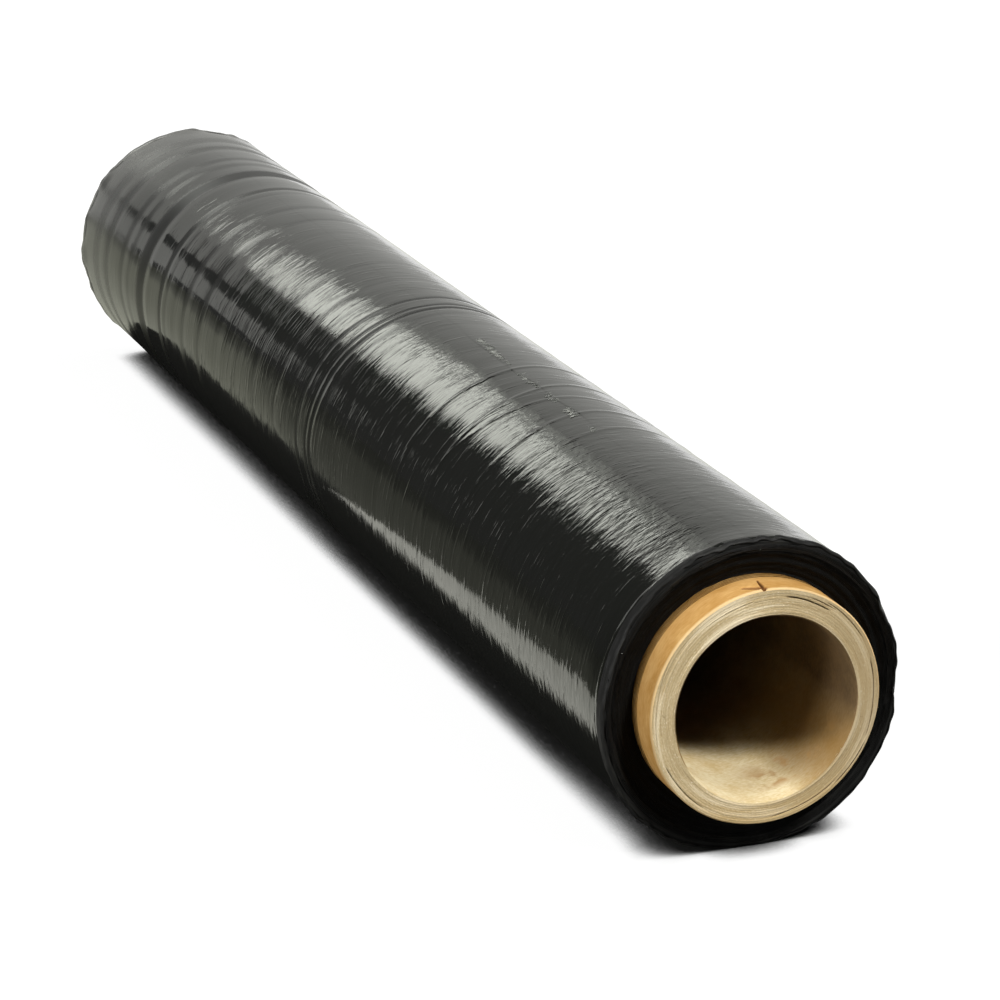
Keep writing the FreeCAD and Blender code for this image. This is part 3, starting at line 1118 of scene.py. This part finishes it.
# %% Scatter bits over a ring
def make_scatter_tree():
    """Bent strips strewn over the host's faces, turned at random about the host's normal."""
    tree, given = new_tree(
        "strewn_bits",
        Count_per_Area=1.0e5, Length=1.2 * MM, Width=0.05 * MM, Thickness=0.04 * MM,
        Lift=0.5, Tilt=0.7, Spin=math.pi, Start_Turn=0.0, Seed=1, Material=film_gloss,
    )
    points = add(tree, "GeometryNodeDistributePointsOnFaces", {
        "Mesh": given["Geometry"],
        "Density": given["Count per Area"],
        "Seed": given["Seed"],
    })

    # One bit: a strip, bent up in its middle.
    half = product_of(tree, given["Length"], 0.5)
    rise = product_of(tree, given["Length"], given["Lift"])
    back = product_of(tree, half, -1.0)
    thread = add(tree, "GeometryNodeCurveQuadraticBezier", {
        "Resolution": 4,
        "Start": add(tree, "ShaderNodeCombineXYZ", {0: back}).outputs[0],
        "Middle": add(tree, "ShaderNodeCombineXYZ", {2: rise}).outputs[0],
        "End": add(tree, "ShaderNodeCombineXYZ", {0: half}).outputs[0],
    })
    bit = sweep(tree, thread.outputs[0], given["Width"], given["Thickness"])

    # Its turn: in the host's plane, and then by chance.
    most = add(tree, "ShaderNodeCombineXYZ", {
        0: given["Tilt"], 1: given["Tilt"], 2: given["Spin"],
    })
    least = add(tree, "ShaderNodeVectorMath", {
        0: most.outputs[0], 1: (-1, -1, -1),
    }, operation="MULTIPLY")
    turn = add(tree, "FunctionNodeRandomValue", {
        "Min": least.outputs[0],
        "Max": most.outputs[0],
        "Seed": given["Seed"],
    }, data_type="FLOAT_VECTOR")
    aligned = add(tree, "FunctionNodeAlignRotationToVector", {
        "Rotation": points.outputs["Rotation"],
        "Vector": (1, 0, 0),
    }, axis="X", pivot_axis="Z")
    size = add(tree, "FunctionNodeRandomValue", {
        2: 0.35, 3: 1.3, "Seed": given["Seed"],
    }, data_type="FLOAT")
    start = add(tree, "ShaderNodeCombineXYZ", {2: given["Start Turn"]})
    turned = add(tree, "ShaderNodeVectorMath", {
        0: turn.outputs[0], 1: start.outputs[0],
    }, operation="ADD")
    spin = add(tree, "FunctionNodeRotateRotation", {
        0: aligned.outputs[0],
        1: turned.outputs[0],
    }, rotation_space="LOCAL")
    strewn = add(tree, "GeometryNodeInstanceOnPoints", {
        "Points": points.outputs["Points"],
        "Instance": bit,
        "Rotation": spin.outputs[0],
        "Scale": size.outputs[1],
    })
    close_tree(tree, strewn.outputs[0], given["Material"])
    return tree


scatter_tree = make_scatter_tree()


def ring_host(name, low_radius, high_radius, along, steps=96):
    """A flat ring of faces round the axis, as the ground for a scatter."""
    theta = np.linspace(0, 2 * math.pi, steps, endpoint=False)
    points = [(along * MM, -r * MM * math.cos(t), (AXIS_HEIGHT + r * math.sin(t)) * MM)
              for r in (low_radius, high_radius) for t in theta]
    order = range(steps)
    faces = [(i, (i + 1) % steps, steps + (i + 1) % steps, steps + i) for i in order]
    if along > 0:
        faces = [face[::-1] for face in faces]
    mesh = bpy.data.meshes.new(name)
    mesh.from_pydata(points, [], faces)
    return mesh


RIM_RING = (FILM_RADIUS - 2.5, FILM_RADIUS - 1.3)
BOARD_RING = (BORE_RADIUS + 0.2, CORE_RADIUS - 0.2)
SCRAP = dict(Length=1.0 * MM, Width=0.35 * MM, Thickness=0.05 * MM)
FIBRE = dict(Length=0.9 * MM, Width=0.05 * MM, Thickness=0.04 * MM)

# Each scatter: its name, ring, place on the axis, slot, material, and the inputs of the tree.
SCATTERS = (
    ("near_rim_scraps", RIM_RING, FILM_HALF, "film", film_gloss,
     dict(SCRAP, Count_per_Area=1.0e5, Lift=0.5, Seed=5)),
    ("far_rim_scraps", RIM_RING, -FILM_HALF, "film", film_gloss,
     dict(SCRAP, Count_per_Area=0.8e5, Lift=0.4, Seed=9)),
    ("near_board_fibres", BOARD_RING, CORE_HALF + 0.02, "core", sawn_board,
     dict(FIBRE, Count_per_Area=5.0e5, Lift=0.25, Seed=11)),
    ("far_board_fibres", BOARD_RING, -CORE_HALF - 0.02, "core", sawn_board,
     dict(FIBRE, Count_per_Area=5.0e5, Lift=0.25, Seed=13)),
)

for name, radii, along, slot, material, inputs in SCATTERS:
    host = ring_host(name + "_host", *radii, along)
    bits = grow(name, scatter_tree, host, Material=material, **inputs)
    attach(bits, "root")

# %% [markdown]
# ## The whitened free edge
#
# Where the film was torn off, its edge has been stretched, and stretched polyethylene turns milky
# because tiny voids open in it. On the roll that shows as a broken row of pale smudges along the
# top, in the near half, each a tuft of short hairs that lie round the roll. The scattering tree
# lays them on a host of narrow patches, one for each smudge.


# %% Build the free edge's fringe
def make_whitened_film():
    """Stretched polyethylene: milky grey, half matt, with tone that changes along the edge."""
    material, tree, shader = new_material("black_polyethylene_film_stretched", **{
        "Roughness": 0.38,
        "IOR": 1.5,
    })
    cloud = stretched_noise(tree, 4, 2)
    base = tones_over(tree, colour("#60625c"), [(cloud, 0.4, 0.6, 0, 1, "#969890")])
    tree.links.new(base, shader.inputs["Base Color"])
    return material


# Each pale smudge: where it starts and ends along the axis, its angle, and half its width round.
FRINGE_PATCHES = (
    (53, 62, 90.2, 1.1), (60, 70, 89.6, 1.6), (70, 76, 89.0, 0.9), (77, 82, 88.8, 0.6),
    (91, 97, 88.8, 1.5), (95, 102, 88.2, 1.8), (103, 106, 88.0, 0.7), (111, 115, 87.8, 1.0),
    (115, 121, 87.4, 1.6), (127, 131, 87.3, 1.0), (130, 136, 86.9, 1.5), (147, 151, 86.6, 0.9),
)
FRINGE_REACH = 0.03
FRINGE_SKEW = 0.25


def fringe_host():
    """Small four-sided patches, skewed as the edge runs, each the ground of one smudge."""
    points = []
    for start, end, middle, half_width in FRINGE_PATCHES:
        for along, shift in ((start, FRINGE_SKEW), (end, -FRINGE_SKEW)):
            for side in (-half_width, half_width):
                theta = math.radians(middle + shift + side)
                reach = FILM_RADIUS + FRINGE_REACH
                points.append((along * MM, -reach * math.cos(theta) * MM,
                               (AXIS_HEIGHT + reach * math.sin(theta)) * MM))
    faces = [(4 * i, 4 * i + 2, 4 * i + 3, 4 * i + 1) for i in range(len(FRINGE_PATCHES))]
    mesh = bpy.data.meshes.new("fringe_host")
    mesh.from_pydata(points, [], faces)
    return mesh


tail_fringe = grow(
    "tail_fringe", scatter_tree, fringe_host(), Material=make_whitened_film(),
    Count_per_Area=2.6e6, Length=1.3 * MM, Width=0.13 * MM, Thickness=0.03 * MM,
    Lift=0.04, Tilt=0.04, Spin=0.35, Start_Turn=math.pi / 2, Seed=17,
)
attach(tail_fringe, "root")

# %% [markdown]
# ## Table, backdrop and cards
#
# The roll lies on a satin table. Most of the table's white is a glow for the rays of the camera,
# which gives the paper-white ground of a catalogue picture. The rest is its own grey, lit by the
# lamps. The glow dims where the roll stands close over the table, as light from all round would,
# and that draws the dark line of contact and the shadow beside it.
#
# A black mirror is lit by what it mirrors, so the stage has cards that only mirrors see. The
# backdrop and a soft box stand on a plane behind the far end. A strip of white card, a strip of
# shade and a black flag lie on the table beside the roll. Their outlines are the ones that the
# roll's own reflections ask for. What a mirror sees of the table itself is darker than what the
# camera sees, and darker still to the left, where the studio ends.


# %% Stage materials
def sum_of_rays(tree, camera, glossy, transmission):
    """A strength that depends on the kind of ray that looks at the surface."""
    path = add(tree, "ShaderNodeLightPath").outputs
    return sum_of(
        tree,
        (path["Is Camera Ray"], camera),
        (path["Is Glossy Ray"], glossy),
        (path["Is Transmission Ray"], transmission),
    )


def make_table():
    """The table: satin, with a glow that fades where the roll is close."""
    material, tree, shader = new_material("white_table", **{
        "Base Color": colour("#343432"),
        "Roughness": 0.35,
    })
    place, along, across, _ = place_outputs(tree)

    # The share of the sky that a spot sees past the roll, a little less beside its middle.
    shade = add(tree, "ShaderNodeAmbientOcclusion", {"Distance": 12 * MM}, samples=8)
    from_far = add(tree, "ShaderNodeMapRange", {0: along, 1: -120 * MM, 2: 0.0}).outputs[0]
    from_near = add(tree, "ShaderNodeMapRange", {0: along, 1: 225 * MM, 2: 170 * MM}).outputs[0]
    middle = product_of(tree, from_far, from_near)
    openness = add(tree, "ShaderNodeMapRange", {
        0: shade.outputs["AO"],
        1: sum_of(tree, (middle, 0.08), (1.0, 0.41)),
        2: 0.69,
    }).outputs[0]

    # What a mirror sees of the table: half bright by the far end, dim to the near left, dimmer
    # still far out there, and almost white on the right.
    slant = add(tree, "ShaderNodeVectorMath", {
        0: place, 1: (1, -2.5, 0),
    }, operation="DOT_PRODUCT").outputs[1]
    dim = add(tree, "ShaderNodeMapRange", {
        0: slant, 1: 20 * MM, 2: 110 * MM, 3: 0.40, 4: 0.13,
    }).outputs[0]
    distant = add(tree, "ShaderNodeMapRange", {
        0: across, 1: -230 * MM, 2: -330 * MM, 3: 1.0, 4: 0.4,
    }).outputs[0]
    right = add(tree, "ShaderNodeMapRange", {0: across, 1: 60 * MM, 2: 250 * MM}).outputs[0]
    mirrored = sum_of(tree, (product_of(tree, dim, distant), 1.0), (right, 0.55))
    mirrored = product_of(tree, sum_of_rays(tree, 0.0, 1.0, 0.0), mirrored)

    # The glow of both, white for the camera and on the right, and a little olive in mirrors else.
    glow = sum_of(tree, (mirrored, 1.0), (sum_of_rays(tree, 0.985, 0.0, 0.985), 1.0))
    glow = product_of(tree, glow, openness)
    plain = sum_of(tree, (sum_of_rays(tree, 1.0, 0.0, 1.0), 1.0), (right, 1.0))
    tint = add(tree, "ShaderNodeMix", {
        0: plain, 6: colour("#f8fae0"), 7: colour("#ffffff"),
    }, data_type="RGBA").outputs[2]
    tree.links.new(tint, shader.inputs["Emission Color"])
    tree.links.new(glow, shader.inputs["Emission Strength"])
    return material


def make_glow(name, hex_value, camera, glossy):
    """A matt card's material, with a strength for camera rays and one for mirror rays."""
    material, tree, shader = new_material(name, **{
        "Base Color": colour("#3c3c3a"),
        "Roughness": 0.9,
        "Specular IOR Level": 0.0,
        "Emission Color": colour(hex_value),
    })
    strength = sum_of_rays(tree, camera, glossy, camera)
    tree.links.new(strength, shader.inputs["Emission Strength"])
    return material


def make_card(name, corners, material, seen=True):
    """A flat card from its corners in millimetres. Only mirrors see it unless it is seen."""
    mesh = bpy.data.meshes.new(name)
    corners = [(along * MM, across * MM, up * MM) for along, across, up in corners]
    mesh.from_pydata(corners, [], [list(range(len(corners)))])
    mesh.materials.append(material)
    card = new_object(name, mesh)
    if not seen:
        card.visible_camera = False
        card.visible_diffuse = False
        card.visible_shadow = False


# %% [markdown]
# The wall cards are drawn on the plane behind the far end, in millimetres across and up. The
# table cards are drawn along and across, and lie a fraction of a millimetre over the table.


# %% Table and cards
FLOOR_HALF = 7000
WALL_PLACE = -1600
BOX_PLACE = WALL_PLACE + 8

BACKDROP = (
    (-572, 0), (-572, 88), (-640, 96), (-680, 112), (-676, 288), (-600, 282), (-520, 268),
    (-432, 286), (-496, 352), (-520, 382), (-515, 425), (-500, 480), (-425, 560), (-400, 1250),
    (3000, 1250), (3000, 0),
)
SOFT_BOX = (
    (-415, 600), (-265, 645), (-140, 704), (0, 764), (130, 850), (150, 1010), (-305, 1010),
    (-350, 820),
)
SOFT_BOX_TOP = ((-305, 1010), (150, 1010), (130, 850), (255, 915), (235, 1150), (-265, 1150))

# A strip of white card beside the near half of the roll.
BOUNCE_CARD = ((-50, -64), (60, -105), (180, -152), (240, -191), (240, -61))

# The ground beside the roll, as its own mirror sees it, on the side that the roll keeps dark.
SHADED_GROUND = ((-262, 0), (-262, -50), (-245, -66), (-30, -67), (0, -60), (262, -57), (262, 0))

# A black flag to the right of the near end keeps the table's light off that side of the rim.
FLAG = ((90, 0), (90, 75), (150, 210), (262, 280), (262, 0))

make_card("table", [
    (-FLOOR_HALF, -FLOOR_HALF, 0),
    (FLOOR_HALF, -FLOOR_HALF, 0),
    (FLOOR_HALF, FLOOR_HALF, 0),
    (-FLOOR_HALF, FLOOR_HALF, 0),
], make_table())

for name, outline, place, glow in (
    ("backdrop", BACKDROP, WALL_PLACE, make_glow("backdrop_paper", "#fffffb", 1.0, 0.66)),
    ("soft_box", SOFT_BOX, BOX_PLACE, make_glow("soft_box_cloth", "#fdfff8", 1.0, 3.9)),
    ("soft_box_top", SOFT_BOX_TOP, BOX_PLACE, make_glow("soft_box_edge", "#fdfff8", 1.0, 1.25)),
):
    make_card(name, [(place, across, up) for across, up in outline], glow, seen=False)

for name, outline, height, glow in (
    ("bounce_card", BOUNCE_CARD, 0.4, make_glow("bounce_card_paper", "#fffff4", 1.0, 1.15)),
    ("shaded_ground", SHADED_GROUND, 0.3, make_glow("shaded_table", "#000000", 0.0, 0.0)),
    ("flag", FLAG, 0.3, make_glow("flag_cloth", "#000000", 0.0, 0.0)),
):
    make_card(name, [(along, across, height) for along, across in outline], glow, seen=False)
print("stage made")

# %% [markdown]
# ## Lamps
#
# A key lamp to the right of the camera lights the sawn end and shines into the bore, a large lamp
# overhead lights the table and keeps shadows short, and a low, soft one on the left opens up the
# shaded side of the core. The hall round the stage is dark: only the camera's rays meet the
# world as white, and every other ray meets a tenth of that.


# %% Lamps and world
def toward(azimuth, elevation, distance):
    """A point seen from the roll: azimuth 0 is at -Y, 90 at +X, both in degrees."""
    a, e = math.radians(azimuth), math.radians(elevation)
    flat = math.cos(e)
    return Vector((math.sin(a) * flat, -math.cos(a) * flat, math.sin(e))) * distance


def make_lamp(name, azimuth, elevation, distance, size, power):
    """A square white lamp that looks at the middle of the roll."""
    light = bpy.data.lights.new(name, "AREA")
    light.size = size
    light.energy = power
    lamp = new_object(name, light)
    lamp.location = toward(azimuth, elevation, distance) + Vector((0, 0, AXIS_HEIGHT * MM))
    lamp.rotation_euler = toward(azimuth, elevation, -1).to_track_quat("-Z", "Y").to_euler()


make_lamp("key_lamp", 110, 45, distance=1.8, size=0.32, power=32.5)
make_lamp("overhead_lamp", 100, 86, distance=2.0, size=1.2, power=15)
make_lamp("fill_lamp", 20, 14, distance=1.9, size=0.8, power=25)

world = bpy.data.worlds.new("studio")
world.use_nodes = True
background = world.node_tree.nodes["Background"]
background.inputs["Color"].default_value = colour("#ffffff")
white = sum_of_rays(world.node_tree, 0.90, 0.0, 0.90)
hall = sum_of(world.node_tree, (1.0, 0.10), (white, 1.0))
world.node_tree.links.new(hall, background.inputs["Strength"])
bpy.context.scene.world = world

# %% [markdown]
# ## Camera
#
# A long lens from about a metre away, a little above and in front of the near end.


# %% Camera
CAMERA_PLACE = Vector((1.0548, -0.3743, 0.3834))
CAMERA_AIM = Vector((-0.888, 0.338, -0.3118))

lens = bpy.data.cameras.new("camera")
lens.lens = 135.4
lens.sensor_width = 36
lens.clip_start = 0.01
camera = new_object("camera", lens)
camera.location = CAMERA_PLACE
camera.rotation_euler = CAMERA_AIM.to_track_quat("-Z", "Y").to_euler()
bpy.context.scene.camera = camera
bpy.context.scene.view_settings.view_transform = "Standard"
